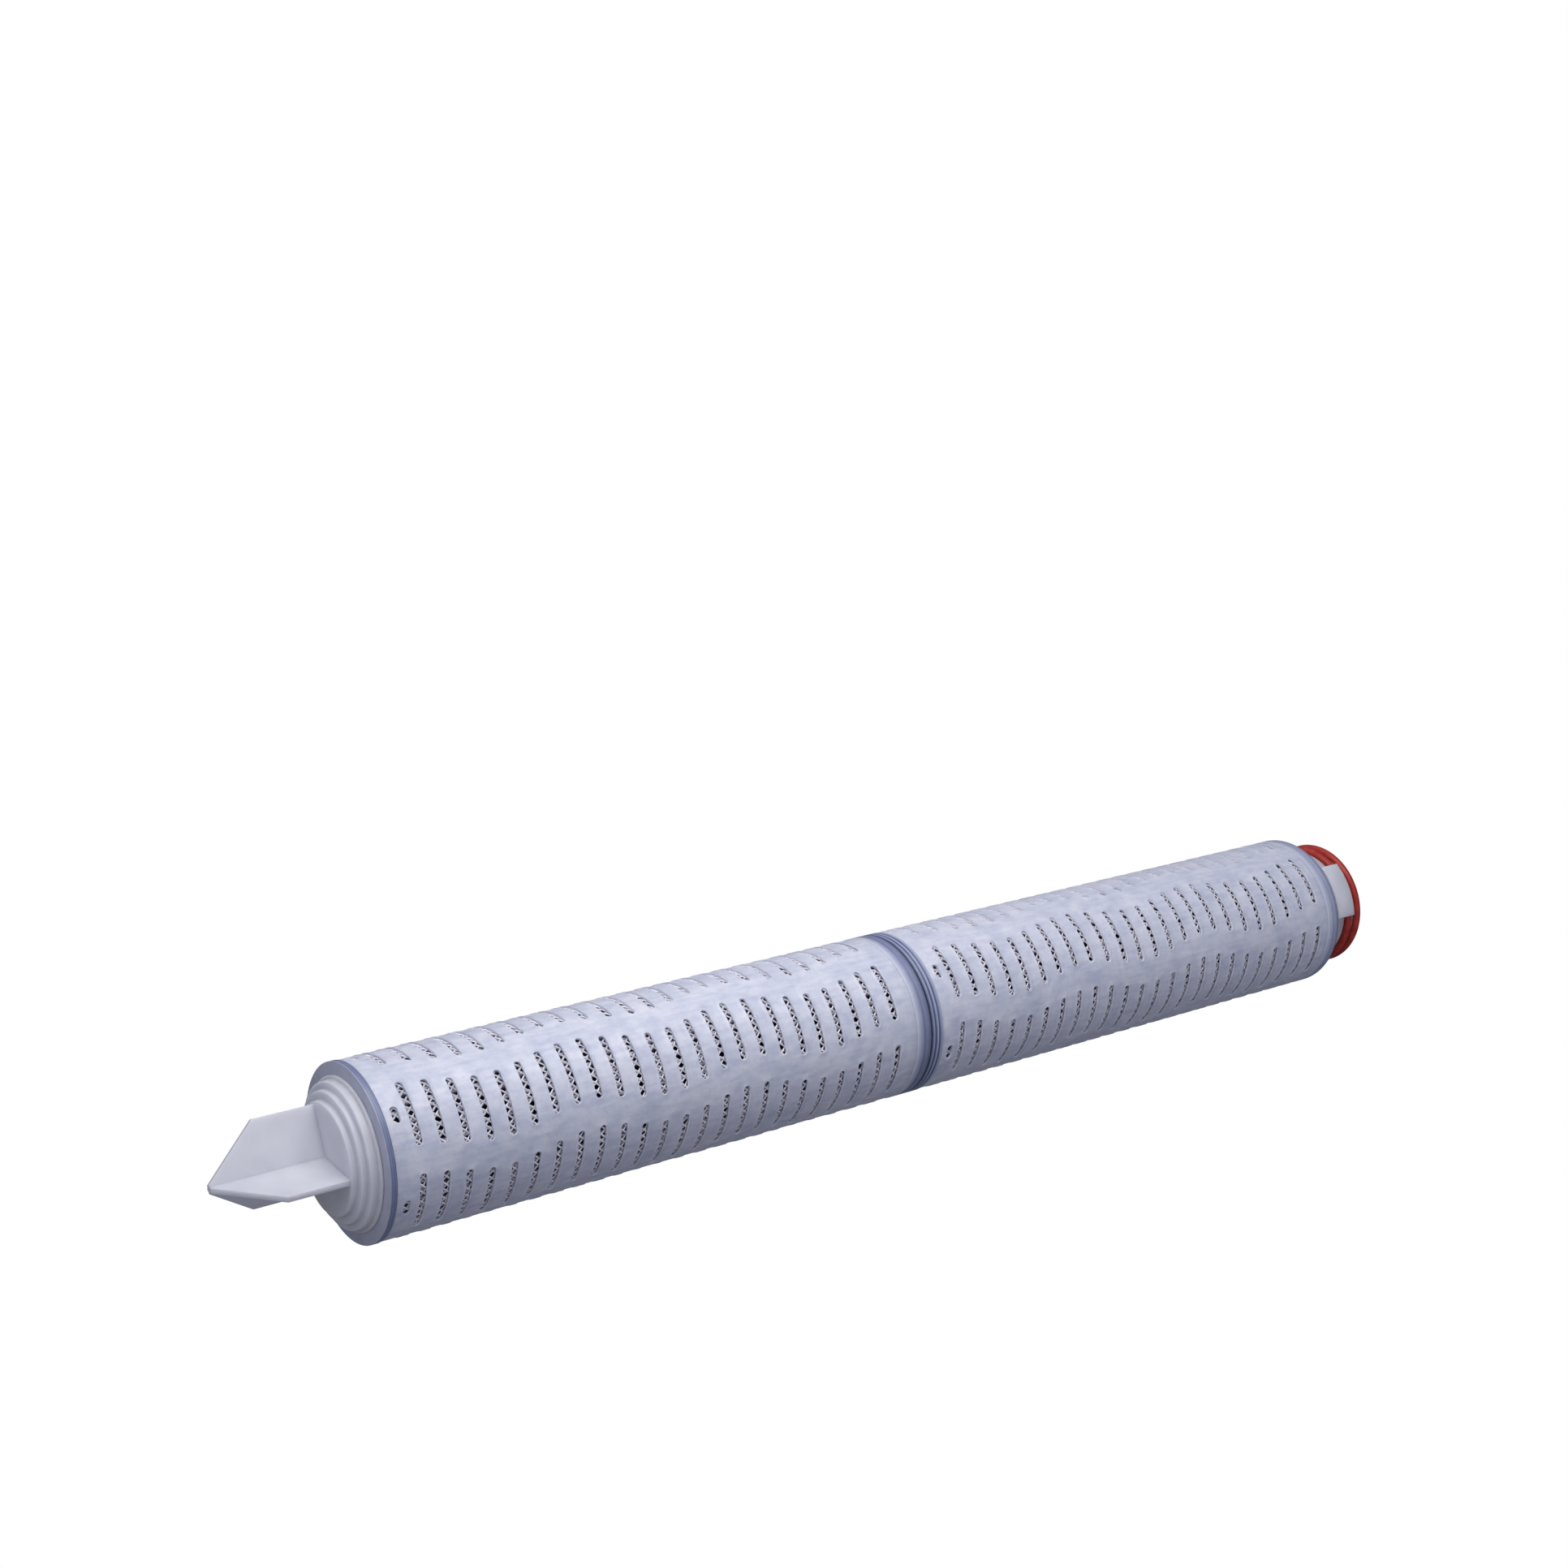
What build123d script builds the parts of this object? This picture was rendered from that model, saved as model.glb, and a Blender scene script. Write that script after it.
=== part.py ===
"""Pleated filter cartridge of two welded modules, standing on its spigot.

The origin is the centre of the spigot's end face, and +Z runs up the axis to
the tip of the locating fin. All sizes are in millimetres.
"""

import os
from math import cos, pi, radians, sin

from build123d import *

# Body of the cartridge
body_radius = 34.5
cage_wall = 1.2
cage_sides = 24
open_cap_rim = 8.0
lower_cage_length = 236.0
lower_joint_cap_rim = 6.0
upper_joint_cap_rim = 7.75
upper_cage_length = 239.5
closed_cap_rim = 2.75
cap_boss_height = 2.5
boss_clearance = 0.1
weld_chamfer = 0.7
rim_chamfer = 0.4
open_end_round = 2.0
rim_line_depth = 0.4
rim_line_width = 0.8

# Slots of the moulded cage
slot_columns = 6
slot_arc = 42.5
slot_height = 3.0
slot_pitch = 9.5
first_row_below_cage_top = 10.5
last_row_above_cage_bottom = 5.0
short_slot_arc = 11.0
short_slot_above_first_row = 6.2
wave_swing = 4.5
wave_length = 74.5
wave_crest_below_cage_top = 44.3
upper_column_angle = -66.0
lower_column_angle = -61.5

# Pleated media, with its inner support
pleat_count = 60
pleat_clearance = 0.15
pleat_thickness = 1.45
pleat_root_wall = 1.0
support_wall = 0.5
support_clearance = 0.1

# Perforated core
core_bore = 27.0
core_wall = 2.4
window_arc = 66.0
window_height = 36.0
window_rows = 4
windows_around = 3

# Locating fin and its stepped base
fin_blades = 3
fin_angle = 12.5
fin_radius = 20.6
fin_thickness = 2.4
fin_shoulder_height = 33.0
fin_height = 53.8
fin_tip_width = 3.0
flange_radius = 29.5
flange_height = 1.4
lower_step_radius = 28.0
lower_step_height = 4.4
middle_step_radius = 25.0
middle_step_height = 6.6
top_step_radius = 21.6
top_step_height = 9.0
step_chamfer = 0.4

# Bayonet adapter with its spigot
spigot_height = 27.0
spigot_radius = 26.3
spigot_tip_radius = 20.5
spigot_tip_height = 4.0
collar_radius = 30.5
collar_height = 2.0
outlet_bore = 34.0
outlet_depth = 22.0
ring_section = 3.53
ring_sides = 8
groove_diameter = 50.6
groove_width = 4.2
upper_ring_below_body = 14.6
lower_ring_below_body = 20.6
lug_count = 2
lug_angle = -72.5
lug_arc = 46.0
lug_radius = 33.0
lug_top_below_body = 2.0
lug_bottom_below_body = 12.0

# Radii worked out from the sizes above
cage_inner_radius = body_radius * cos(pi / cage_sides) - cage_wall
boss_radius = cage_inner_radius - boss_clearance
core_radius = core_bore / 2 + core_wall
support_inner_radius = core_radius + support_clearance
support_radius = support_inner_radius + support_wall
media_inner_radius = support_radius + support_clearance
media_radius = cage_inner_radius - pleat_clearance
groove_radius = groove_diameter / 2
ring_centre_radius = groove_radius + ring_section / 2 * cos(pi / ring_sides)

# Heights worked out from the sizes above
lower_cage_bottom = spigot_height + open_cap_rim
lower_cage_top = lower_cage_bottom + lower_cage_length
joint_height = lower_cage_top + lower_joint_cap_rim
upper_cage_bottom = joint_height + upper_joint_cap_rim
upper_cage_top = upper_cage_bottom + upper_cage_length
body_top = upper_cage_top + closed_cap_rim


def sector_points(inner, outer, arc):
    """Corners of a wedge between two radii, about the X axis."""
    half = radians(arc / 2)
    return [
        (inner * cos(half), -inner * sin(half)),
        (outer * cos(half), -outer * sin(half)),
        (outer * cos(half), outer * sin(half)),
        (inner * cos(half), inner * sin(half)),
    ]


def slot_plane(depth, top, column_angle):
    """Plane of a slot's lower side, turned to where the wave has its first column."""
    wave = cos(2 * pi * (depth - wave_crest_below_cage_top) / wave_length)
    middle = radians(column_angle - wave_swing * wave)
    height = top - depth - slot_height / 2
    return Plane(origin=(0, 0, height), x_dir=(cos(middle), sin(middle), 0), z_dir=(0, 0, 1))


def make_cage(label, bottom, top, column_angle):
    """Moulded outer cage, many-sided, with rows of slots in columns that wave from side to side."""
    span = top - bottom - first_row_below_cage_top - last_row_above_cage_bottom
    rows = [first_row_below_cage_top + row * slot_pitch for row in range(int(span / slot_pitch) + 1)]
    short_row = first_row_below_cage_top - short_slot_above_first_row
    inside = cage_inner_radius - cage_wall
    outside = body_radius + 2 * cage_wall
    with BuildPart() as cage:
        with BuildSketch(Plane.XY.offset(bottom)):
            RegularPolygon(body_radius, cage_sides)
            RegularPolygon(cage_inner_radius, cage_sides, major_radius=False, mode=Mode.SUBTRACT)
        extrude(amount=top - bottom)
        with BuildSketch(*[slot_plane(depth, top, column_angle) for depth in rows]):
            with PolarLocations(0, slot_columns):
                Polygon(*sector_points(inside, outside, slot_arc), align=None)
        extrude(amount=slot_height, mode=Mode.SUBTRACT)
        with BuildSketch(slot_plane(short_row, top, column_angle)):
            with PolarLocations(0, slot_columns):
                Polygon(*sector_points(inside, outside, short_slot_arc), align=None)
        extrude(amount=slot_height, mode=Mode.SUBTRACT)
    cage.part.label = label
    return cage


def make_media(label, bottom, top):
    """Media folded into straight pleats, pressed together at the root and open between the tips."""
    points = []
    for pleat in range(pleat_count):
        middle = 2 * pi * pleat / pleat_count
        half_tip = pleat_thickness / 2 / media_radius
        valley = middle + pi / pleat_count
        root = media_inner_radius + pleat_root_wall
        points.append((media_radius * cos(middle - half_tip), media_radius * sin(middle - half_tip)))
        points.append((media_radius * cos(middle + half_tip), media_radius * sin(middle + half_tip)))
        points.append((root * cos(valley), root * sin(valley)))
    with BuildPart() as media:
        with BuildSketch(Plane.XY.offset(bottom)):
            Polygon(*points, align=None)
            Circle(media_inner_radius, mode=Mode.SUBTRACT)
        extrude(amount=top - bottom)
    media.part.label = label
    return media


def make_support(label, bottom, top):
    """Inner support sleeve between the core and the pleats."""
    with BuildPart() as support:
        with BuildSketch(Plane.XY.offset(bottom)):
            Circle(support_radius)
            Circle(support_inner_radius, mode=Mode.SUBTRACT)
        extrude(amount=top - bottom)
    support.part.label = label
    return support


def make_core(label, bottom, top):
    """Core tube with rows of windows that let the filtrate into its bore."""
    spacing = (top - bottom) / window_rows
    with BuildPart() as core:
        with BuildSketch(Plane.XY.offset(bottom)):
            Circle(core_radius)
            Circle(core_bore / 2, mode=Mode.SUBTRACT)
        extrude(amount=top - bottom)
        first = bottom + spacing / 2 - window_height / 2
        with BuildSketch(*[Plane.XY.offset(first + row * spacing) for row in range(window_rows)]):
            with PolarLocations(0, windows_around):
                Polygon(
                    *sector_points(core_bore / 2 - core_wall, core_radius + core_wall, window_arc),
                    align=None,
                )
        extrude(amount=window_height, mode=Mode.SUBTRACT)
    core.part.label = label
    return core


def make_cap(label, rim_bottom, rim_height, boss_side, weld_side, is_open, lines, rounding=0.0):
    """End cap: a rim as wide as the cage and a boss that seats inside it.

    boss_side and weld_side are +1 for the cap's upper face and -1 for its lower face, lines is how
    many fine grooves run round the rim, and rounding is the radius of the rim's outer edge, if any.
    """
    rim_top = rim_bottom + rim_height
    boss_bottom = rim_top if boss_side > 0 else rim_bottom - cap_boss_height
    with BuildPart() as cap:
        with BuildSketch(Plane.XY.offset(rim_bottom)):
            Circle(body_radius)
        extrude(amount=rim_height)
        rims = cap.edges().filter_by(GeomType.CIRCLE).sort_by(Axis.Z)
        welded = rims[-1] if weld_side > 0 else rims[0]
        if rounding:
            fillet(welded, rounding)
        else:
            chamfer(welded, weld_chamfer if is_open else rim_chamfer)
        for line in range(lines):
            line_height = rim_bottom + rim_height * (line + 1) / (lines + 1)
            with BuildSketch(Plane.XZ):
                with Locations((body_radius - rim_line_depth, line_height)):
                    Rectangle(2 * rim_line_depth, rim_line_width, align=(Align.MIN, Align.CENTER))
            revolve(axis=Axis.Z, mode=Mode.SUBTRACT)
        with BuildSketch(Plane.XY.offset(boss_bottom)):
            Circle(boss_radius)
        extrude(amount=cap_boss_height)
        if is_open:
            with BuildSketch(Plane.XY.offset(min(rim_bottom, boss_bottom))):
                Circle(core_bore / 2)
            extrude(amount=rim_height + cap_boss_height, mode=Mode.SUBTRACT)
    cap.part.label = label
    return cap


# The two modules, from the spigot up
lower_inside = (lower_cage_bottom + cap_boss_height, lower_cage_top - cap_boss_height)
upper_inside = (upper_cage_bottom + cap_boss_height, upper_cage_top - cap_boss_height)
pieces = [
    make_cap("open_end_cap", spigot_height, open_cap_rim, 1, -1, True, 1, open_end_round),
    make_cage("lower_cage", lower_cage_bottom, lower_cage_top, lower_column_angle),
    make_media("lower_media", *lower_inside),
    make_support("lower_inner_support", *lower_inside),
    make_core("lower_core", *lower_inside),
    make_cap("lower_joint_cap", lower_cage_top, lower_joint_cap_rim, -1, 1, True, 2),
    make_cap("upper_joint_cap", joint_height, upper_joint_cap_rim, 1, -1, True, 1),
    make_cage("upper_cage", upper_cage_bottom, upper_cage_top, upper_column_angle),
    make_media("upper_media", *upper_inside),
    make_support("upper_inner_support", *upper_inside),
    make_core("upper_core", *upper_inside),
    make_cap("closed_end_cap", upper_cage_top, closed_cap_rim, -1, 1, False, 0),
]

# Locating fin: three blades on a stepped base that is welded to the closed cap
with BuildPart() as fin_adapter:
    with BuildSketch(Plane.XZ):
        with BuildLine():
            Polyline(
                (0, body_top),
                (flange_radius, body_top),
                (flange_radius, body_top + flange_height),
                (lower_step_radius, body_top + flange_height),
                (lower_step_radius, body_top + lower_step_height),
                (middle_step_radius, body_top + lower_step_height),
                (middle_step_radius, body_top + middle_step_height),
                (top_step_radius, body_top + middle_step_height),
                (top_step_radius, body_top + top_step_height),
                (0, body_top + top_step_height),
                close=True,
            )
        make_face()
    revolve(axis=Axis.Z)
    outer_rims = fin_adapter.edges().filter_by(GeomType.CIRCLE).group_by(Axis.Z)
    chamfer([outer_rims[1][-1], outer_rims[2][-1], outer_rims[3][-1], outer_rims[4][-1]], step_chamfer)
    blade_base = Plane(
        origin=(0, 0, body_top),
        x_dir=(cos(radians(fin_angle)), sin(radians(fin_angle)), 0),
        z_dir=(sin(radians(fin_angle)), -cos(radians(fin_angle)), 0),
    )
    with BuildSketch(blade_base) as blade:
        Polygon(
            (0, middle_step_height),
            (fin_radius, middle_step_height),
            (fin_radius, fin_shoulder_height),
            (fin_tip_width / 2, fin_height),
            (0, fin_height),
            align=None,
        )
    blades = extrude(blade.sketch, amount=fin_thickness / 2, both=True, mode=Mode.PRIVATE)
    with PolarLocations(0, fin_blades):
        add(blades)
fin_adapter.part.label = "fin_adapter"
pieces.append(fin_adapter)

# Bayonet adapter: collar, two ring grooves, a tapered tip and lugs that turn under the housing's ears
groove_heights = [spigot_height - upper_ring_below_body, spigot_height - lower_ring_below_body]
with BuildPart() as bayonet_adapter:
    with BuildSketch(Plane.XZ):
        with BuildLine():
            Polyline(
                (0, 0),
                (spigot_tip_radius, 0),
                (spigot_radius, spigot_tip_height),
                (spigot_radius, spigot_height - collar_height),
                (collar_radius, spigot_height - collar_height),
                (collar_radius, spigot_height),
                (0, spigot_height),
                close=True,
            )
        make_face()
        for height in groove_heights:
            with Locations((groove_radius, height)):
                Rectangle(body_radius, groove_width, align=(Align.MIN, Align.CENTER), mode=Mode.SUBTRACT)
    revolve(axis=Axis.Z)
    lug_bottom = spigot_height - lug_bottom_below_body
    lug_height = lug_bottom_below_body - lug_top_below_body
    lug_turn = radians(lug_angle)
    lug_plane = Plane(
        origin=(0, 0, lug_bottom),
        x_dir=(cos(lug_turn), sin(lug_turn), 0),
        z_dir=(0, 0, 1),
    )
    with BuildSketch(lug_plane):
        Circle(lug_radius)
        with PolarLocations(0, lug_count):
            Polygon(*sector_points(groove_radius, 2 * lug_radius, lug_arc), align=None, mode=Mode.INTERSECT)
    extrude(amount=lug_height)
    with BuildSketch(Plane.XY):
        Circle(outlet_bore / 2)
    extrude(amount=outlet_depth, mode=Mode.SUBTRACT)
    with BuildSketch(Plane.XY.offset(outlet_depth)):
        Circle(core_bore / 2)
    extrude(amount=spigot_height - outlet_depth, mode=Mode.SUBTRACT)
bayonet_adapter.part.label = "bayonet_adapter"
pieces.append(bayonet_adapter)

# Sealing rings of the spigot, with a many-sided section that stands for the round one
for label, height in zip(("upper_o_ring", "lower_o_ring"), groove_heights):
    with BuildPart() as o_ring:
        with BuildSketch(Plane.XZ):
            with Locations((ring_centre_radius, height)):
                RegularPolygon(ring_section / 2, ring_sides, rotation=180 / ring_sides)
        revolve(axis=Axis.Z)
    o_ring.part.label = label
    pieces.append(o_ring)

os.makedirs("parts", exist_ok=True)
for piece in pieces:
    export_step(piece.part, f"parts/{piece.part.label}.step")
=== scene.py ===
"""Looks of a pleated filter cartridge: two welded modules, a locating fin and a bayonet spigot.

Everything is in metres, in the frame of the construction model. The cartridge stands on its
spigot with its axis along +Z, and the camera is rolled so that it lies across the picture.
"""

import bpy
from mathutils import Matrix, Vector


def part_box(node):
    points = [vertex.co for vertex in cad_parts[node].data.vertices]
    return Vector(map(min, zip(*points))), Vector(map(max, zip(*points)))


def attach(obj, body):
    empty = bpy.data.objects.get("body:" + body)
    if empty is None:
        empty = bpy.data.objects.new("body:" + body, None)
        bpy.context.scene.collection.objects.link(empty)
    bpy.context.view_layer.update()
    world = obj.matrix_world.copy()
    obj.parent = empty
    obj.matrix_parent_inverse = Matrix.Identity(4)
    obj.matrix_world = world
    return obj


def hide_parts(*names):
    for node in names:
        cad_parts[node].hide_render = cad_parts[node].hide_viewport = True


bl_info = {
    "name": "Pleated Filter Cartridge",
    "version": (1, 0, 0),
    "blender": (4, 5, 0),
    "location": "View3D > Sidebar > Cartridge",
    "description": "Builds the looks of a pleated filter cartridge around its construction model",
    "category": "Add Mesh",
}

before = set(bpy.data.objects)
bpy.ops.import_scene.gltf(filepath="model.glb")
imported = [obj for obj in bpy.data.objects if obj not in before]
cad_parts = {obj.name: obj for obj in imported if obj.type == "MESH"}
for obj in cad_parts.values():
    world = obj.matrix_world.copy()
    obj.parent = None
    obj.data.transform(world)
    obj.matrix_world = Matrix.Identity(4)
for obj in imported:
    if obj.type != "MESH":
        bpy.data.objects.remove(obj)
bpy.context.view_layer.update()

from math import atan2, cos, pi, radians, sin, tan

import bmesh
import bpy
import numpy as np
from bpy.props import FloatProperty, FloatVectorProperty, IntProperty, PointerProperty
from mathutils import Matrix, Vector

MM = 0.001
BODY_RADIUS = 34.5 * MM
CAGE_WALL = 1.2 * MM
LIP = 0.25 * MM


def node_span(name):
    """Lowest and highest height of a construction node."""
    low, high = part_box(name)
    return low.z, high.z


# Plain tools for modelling


def deselect():
    bpy.ops.object.select_all(action="DESELECT")


def make_active(piece):
    deselect()
    piece.select_set(True)
    bpy.context.view_layer.objects.active = piece


def add_loop(name, points):
    """A closed loop of edges through the points, started from a circle."""
    deselect()
    bpy.ops.mesh.primitive_circle_add(vertices=len(points), radius=BODY_RADIUS)
    piece = bpy.context.object
    piece.name = name
    piece.data.name = name
    for vertex, point in zip(piece.data.vertices, points):
        vertex.co = point
    return piece


def apply_modifier(piece, kind, **settings):
    make_active(piece)
    modifier = piece.modifiers.new(kind.lower(), kind)
    for key, value in settings.items():
        setattr(modifier, key, value)
    bpy.ops.object.modifier_apply(modifier=modifier.name)


def merge_and_face_out(piece, distance=1e-6):
    make_active(piece)
    bpy.ops.object.mode_set(mode="EDIT")
    bpy.ops.mesh.select_all(action="SELECT")
    bpy.ops.mesh.remove_doubles(threshold=distance)
    bpy.ops.mesh.normals_make_consistent(inside=False)
    bpy.ops.object.mode_set(mode="OBJECT")


def face_away_from_axis(piece):
    """Turns an open shell's faces so that they look away from the cartridge's axis."""
    outward = sum(face.normal.x * face.center.x + face.normal.y * face.center.y for face in piece.data.polygons)
    if outward < 0:
        make_active(piece)
        bpy.ops.object.mode_set(mode="EDIT")
        bpy.ops.mesh.select_all(action="SELECT")
        bpy.ops.mesh.flip_normals()
        bpy.ops.object.mode_set(mode="OBJECT")


def round_edges(piece, width, segments=2, angle=40):
    apply_modifier(piece, "BEVEL", width=width, segments=segments, limit_method="ANGLE",
                   angle_limit=radians(angle), use_clamp_overlap=True)


def smooth(piece, angle=35):
    make_active(piece)
    bpy.ops.object.shade_smooth_by_angle(angle=radians(angle))


def spin_profile(name, profile, steps=144):
    """A solid of revolution about Z from a closed profile of (radius, height) points."""
    piece = add_loop(name, [(radius, 0, height) for radius, height in profile])
    make_active(piece)
    bpy.ops.object.mode_set(mode="EDIT")
    bpy.ops.mesh.select_all(action="SELECT")
    bpy.ops.mesh.spin(steps=steps, angle=2 * pi, center=(0, 0, 0), axis=(0, 0, 1))
    bpy.ops.object.mode_set(mode="OBJECT")
    merge_and_face_out(piece)
    return piece


def join_solids(piece, others):
    """Makes one closed skin of the piece and the others."""
    for other in others:
        make_active(piece)
        modifier = piece.modifiers.new("union", "BOOLEAN")
        modifier.operation = "UNION"
        modifier.solver = "EXACT"
        modifier.object = other
        bpy.ops.object.modifier_apply(modifier=modifier.name)
        bpy.data.objects.remove(other)


def move_vertices(piece, place):
    """Moves every vertex to where place puts an array of points."""
    points = np.zeros(len(piece.data.vertices) * 3)
    piece.data.vertices.foreach_get("co", points)
    moved = place(points.reshape(-1, 3))
    piece.data.vertices.foreach_set("co", moved.ravel())
    piece.data.update()


def finish_piece(piece, material, nodes=()):
    piece.data.materials.clear()
    piece.data.materials.append(material)
    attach(piece, "root")
    if nodes:
        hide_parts(*nodes)
    return piece


# Materials


def linear(hex_colour):
    """A linear colour from an sRGB hex value."""
    channels = [int(hex_colour[i:i + 2], 16) / 255 for i in (1, 3, 5)]
    return [c / 12.92 if c <= 0.04045 else ((c + 0.055) / 1.055) ** 2.4 for c in channels] + [1.0]


def add_node(tree, kind, settings=None, **links):
    """A node with its settings, and each named input set or linked."""
    node = tree.nodes.new(kind)
    for key, value in (settings or {}).items():
        setattr(node, key, value)
    for key, value in links.items():
        socket = node.inputs[int(key[1:])] if key[0] == "i" and key[1:].isdigit() else node.inputs[key.replace("_", " ")]
        if isinstance(value, bpy.types.NodeSocket):
            tree.links.new(value, socket)
        else:
            socket.default_value = value
    return node


def new_material(name):
    """A material with an empty tree, its output and a Principled shader."""
    material = bpy.data.materials.new(name)
    material.use_nodes = True
    tree = material.node_tree
    tree.nodes.clear()
    shader = add_node(tree, "ShaderNodeBsdfPrincipled")
    add_node(tree, "ShaderNodeOutputMaterial", Surface=shader.outputs[0])
    return material, tree, shader


def object_point(tree):
    return add_node(tree, "ShaderNodeTexCoord").outputs["Object"]


def noise(tree, point, size, detail=3.0, roughness=0.5):
    """Noise whose features are about size metres across."""
    node = add_node(tree, "ShaderNodeTexNoise", Vector=point, Scale=1 / size, Detail=detail, Roughness=roughness)
    return node.outputs["Fac"]


def two_colours(tree, factor, dark, light):
    node = add_node(tree, "ShaderNodeMix", {"data_type": "RGBA"}, i0=factor, i6=linear(dark), i7=linear(light))
    return node.outputs[2]


def math(tree, operation, first, second=0.0):
    return add_node(tree, "ShaderNodeMath", {"operation": operation}, i0=first, i1=second).outputs[0]


def spread(tree, value, low, high):
    """Stretches the range from low to high over 0 to 1."""
    node = add_node(tree, "ShaderNodeMapRange", i0=value, i1=low, i2=high, i3=0.0, i4=1.0)
    return node.outputs[0]


def bump(tree, height, distance, strength=1.0):
    node = add_node(tree, "ShaderNodeBump", Strength=strength, Distance=distance, Height=height)
    return node.outputs[0]


def distance_from_axis(tree, point):
    """How far a point lies from the cartridge's axis."""
    across = add_node(tree, "ShaderNodeVectorMath", {"operation": "MULTIPLY"}, i0=point, i1=(1.0, 1.0, 0.0))
    return add_node(tree, "ShaderNodeVectorMath", {"operation": "LENGTH"}, i0=across.outputs[0]).outputs["Value"]


def tint(tree, colour, factor, shade):
    """Multiplies a colour by a shade, as far as the factor says."""
    node = add_node(tree, "ShaderNodeMix", {"data_type": "RGBA", "blend_type": "MULTIPLY"}, i0=factor, i6=colour,
                    i7=linear(shade))
    return node.outputs[2]


def cage_plastic():
    """Natural polypropylene, injection moulded: milky, a soft shine, the pleats show through faintly."""
    colours = bpy.context.scene.cartridge_colours
    material, tree, shader = new_material("natural_polypropylene_moulded")
    point = object_point(tree)
    stretched = add_node(tree, "ShaderNodeMapping", i0=point, i3=(1.0, 1.0, 0.2)).outputs[0]
    mottle = spread(tree, noise(tree, point, 9 * MM, 4.0, 0.62), 0.32, 0.68)
    base = two_colours(tree, mottle, "#C2C6D6", "#D6D8E3")
    streak = spread(tree, noise(tree, stretched, 2.2 * MM, 3.0), 0.42, 0.72)
    base = tint(tree, base, math(tree, "MULTIPLY", streak, 0.30), "#C2C2DC")
    blotch = spread(tree, noise(tree, point, 3.5 * MM, 3.0, 0.6), 0.50, 0.75)
    base = tint(tree, base, math(tree, "MULTIPLY", blotch, 0.22), "#DCC8D8")
    tree.links.new(base, shader.inputs["Base Color"])
    waves = noise(tree, point, 4.5 * MM, 3.0, 0.6)
    tree.links.new(bump(tree, waves, 0.35 * MM, 0.8), shader.inputs["Normal"])
    shader.inputs["Roughness"].default_value = 0.36
    shader.inputs["IOR"].default_value = 1.49
    shader.inputs["Subsurface Weight"].default_value = 0.6
    shader.inputs["Subsurface Radius"].default_value = (1.0, 1.0, 1.15)
    shader.inputs["Subsurface Scale"].default_value = 2.0 * MM
    return material


def height_colours(tree, point, stops):
    """Colours along the axis: stops are (height in millimetres, hex colour) from the bottom up."""
    low, high = stops[0][0], stops[-1][0]
    height = add_node(tree, "ShaderNodeSeparateXYZ", i0=point).outputs[2]
    ragged = math(tree, "MULTIPLY", math(tree, "SUBTRACT", noise(tree, point, 3 * MM), 0.5), 0.3 * MM)
    place = spread(tree, math(tree, "ADD", height, ragged), low * MM, high * MM)
    ramp = add_node(tree, "ShaderNodeValToRGB", i0=place)
    ramp.color_ramp.elements[0].color = linear(stops[0][1])
    ramp.color_ramp.elements[1].color = linear(stops[-1][1])
    for level, colour in stops[1:-1]:
        ramp.color_ramp.elements.new((level - low) / (high - low)).color = linear(colour)
    return ramp.outputs[0]


def rim_plastic_with_painted_shade(name, stops):
    """Natural polypropylene of a rim: bluish, with bands of painted shade and painted highlight along its height."""
    material, tree, shader = new_material(name)
    point = object_point(tree)
    mottle = spread(tree, noise(tree, point, 5 * MM, 4.0, 0.6), 0.35, 0.7)
    # The height stops paint shade and highlights as bands round the rim.
    colour = tint(tree, height_colours(tree, point, stops), math(tree, "MULTIPLY", mottle, 0.3), "#D4D6E6")
    tree.links.new(colour, shader.inputs["Base Color"])
    tree.links.new(bump(tree, noise(tree, point, 3 * MM), 0.2 * MM, 0.6), shader.inputs["Normal"])
    shader.inputs["Roughness"].default_value = 0.34
    shader.inputs["IOR"].default_value = 1.49
    shader.inputs["Subsurface Weight"].default_value = 0.2
    shader.inputs["Subsurface Radius"].default_value = (1.0, 1.0, 1.15)
    shader.inputs["Subsurface Scale"].default_value = 1.0 * MM
    return material


def joint_plastic():
    """The joint between the modules, a weld between two turned rims: the darker bluish band and the dark weld groove
    are painted shade, and the fine light lines are painted highlights.
    """
    # Painted shade deepens towards the weld groove; the lighter stops are painted highlights on the turned lines.
    return rim_plastic_with_painted_shade("natural_polypropylene_joint", [
        (271.0, "#B9BDD0"), (272.3, "#9097B2"), (272.7, "#5A6282"), (273.3, "#565E7E"), (273.7, "#B4B9CF"),
        (274.4, "#858DAB"), (274.7, "#4E5776"), (275.3, "#4A5272"), (275.7, "#A4ABC4"), (276.4, "#69728F"),
        (276.8, "#2C324A"), (277.3, "#2C324A"), (277.9, "#69708C"), (279.6, "#8388A4"), (280.6, "#747A97"),
        (281.2, "#8A8FA9"), (283.0, "#ABAFC3"), (284.75, "#C6CAD8"),
    ])


def closed_end_plastic():
    """The closed end's rim: its side painted dark blue as shade, with turned lines painted as light and dark bands of
    highlight and shade, pale at the face.
    """
    return rim_plastic_with_painted_shade("natural_polypropylene_closed_end", [
        # Painted shade on the rim's side, with painted highlights for the turned lines.
        (524.25, "#4E5776"), (524.8, "#8088A6"), (525.3, "#6A7392"), (525.8, "#858DAA"), (526.3, "#6A7290"),
        (526.7, "#9499B0"), (527.0, "#B2B4C2"),
    ])


def open_end_plastic():
    """The open end's rim: pale beside the cage, with painted shade darkening it towards its round edge and in a band
    round its side.
    """
    return rim_plastic_with_painted_shade("natural_polypropylene_open_end", [
        # Painted shade towards the round edge and in the darker band; the lighter stops beside it are painted
        # highlights.
        (27.0, "#5C627C"), (28.4, "#7C839C"), (30.4, "#A0A5BA"), (30.8, "#8C92AB"), (31.2, "#8C92AB"),
        (31.6, "#ABAFC3"), (35.0, "#C4C8D7"),
    ])


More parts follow.
